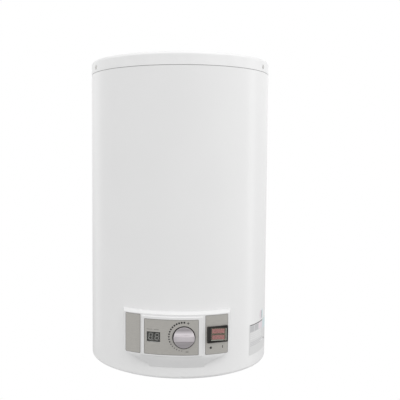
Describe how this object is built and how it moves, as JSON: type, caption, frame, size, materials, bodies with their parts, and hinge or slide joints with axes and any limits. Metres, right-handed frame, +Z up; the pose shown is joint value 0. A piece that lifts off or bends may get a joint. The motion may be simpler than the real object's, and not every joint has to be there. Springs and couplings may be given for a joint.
{
  "type": "tank water heater",
  "caption": "Slim wall-hung electric storage water heater: white cylindrical casing, curved control panel with dial, display and rocker switch, pipe stubs below.",
  "frame": {"origin": "on the wall plane, midway between the two upper wall-bolt holes of the rear bracket", "axes": "+Z up along the tank's axis, +Y into the wall, -Y the front with the control panel, +X to the viewer's right"},
  "size_m": [0.35, 0.3857, 0.607],
  "materials": {
    "white_paint": "smooth semi-gloss white powder coat",
    "white_plastic": "smooth moulded white plastic",
    "black_rubber": "matt sealing strip",
    "zinc_steel": "bright zinc-plated steel",
    "tank_enamel": "fired tank enamel over steel",
    "foam": "rigid polyurethane foam",
    "pipe_steel": "galvanised pipe",
    "red_plastic": "moulded rosette",
    "blue_plastic": "moulded rosette",
    "element_sheath": "drawn metal sheath",
    "magnesium": "cast magnesium alloy",
    "copper": "drawn copper",
    "insulator": "glazed insulator",
    "silver_foil": "fine-brushed silver film",
    "black_plastic": "black moulded plastic",
    "knob_metal": "satin metallised plastic",
    "clear_plastic": "tinted clear window",
    "display_body": "dark display filter",
    "segment": "milky light bar",
    "board": "printed circuit board",
    "lens_red": "red light window",
    "red_button": "moulded reset button",
    "wire_sheath": "silicone wire sheath",
    "white_foil": "printed metallised label",
    "paper_label": "printed sticker"
  },
  "bodies": {
    "case": {"outer_jacket": "white_paint", "top_cap": "white_plastic", "cap_support_ring": "zinc_steel", "cap_seal": "black_rubber", "cap_screws": "zinc_steel", "inner_tank": "tank_enamel", "foam_insulation": "foam", "bracket_bosses": "zinc_steel", "hot_outlet_pipe": "pipe_steel", "cold_inlet_pipe": "pipe_steel", "inlet_diffuser": "white_plastic", "hot_collar": "red_plastic", "cold_collar": "blue_plastic", "element_flange": "zinc_steel", "flange_gasket": "black_rubber", "flange_bolts": "zinc_steel", "heating_element": "element_sheath", "terminal_insulators": "insulator", "element_terminals": "zinc_steel", "magnesium_anode": "magnesium", "anode_nut": "zinc_steel", "sensor_well": "element_sheath", "sensor_bulbs": "copper", "sensor_capillaries": "copper", "wiring": "wire_sheath", "control_housing": "white_plastic", "left_inlay": "silver_foil", "centre_inlay": "silver_foil", "right_inlay": "silver_foil", "knob_seat": "black_plastic", "thermostat_body": "black_plastic", "thermostat_screws": "zinc_steel", "control_plate": "zinc_steel", "housing_screws": "zinc_steel", "thermal_cutout": "black_plastic", "display_window": "clear_plastic", "display_module": "display_body", "display_board": "board", "display_segments": "segment", "switch_frame": "black_plastic", "switch_terminals": "zinc_steel", "bottom_cover": "white_plastic", "cover_screws": "zinc_steel", "cable_gland": "black_plastic", "gland_nut": "black_plastic", "gland_locknut": "black_plastic", "terminal_block": "insulator", "terminal_screws": "zinc_steel", "upper_wall_bracket": "zinc_steel", "bracket_bolts": "zinc_steel", "lower_spacer": "white_plastic", "rating_label": "white_foil", "badge_label": "paper_label"},
    "knob": {"temperature_knob": "knob_metal", "thermostat_shaft": "zinc_steel"},
    "rocker": {"rocker_paddle": "black_plastic", "rocker_window": "clear_plastic", "rocker_lenses": "lens_red", "rocker_pin": "zinc_steel"},
    "button": {"reset_button": "red_button"}
  },
  "joints": [
    {"name": "knob_turn", "type": "hinge", "parent": "case", "child": "knob", "pos_m": [0.01358, -0.37651, -0.3608], "axis": [0.0715, -0.9974, 0], "range_deg": [-95, 95]},
    {"name": "rocker_tilt", "type": "hinge", "parent": "case", "child": "rocker", "pos_m": [0.07191, -0.35724, -0.3577], "axis": [0, 0, 1], "range_deg": [0, 20]},
    {"name": "reset_press", "type": "slide", "parent": "case", "child": "button", "axis": [0, 0, 1], "range_m": [0, 0.0015], "stiffness_N_per_m": 800}
  ]
}
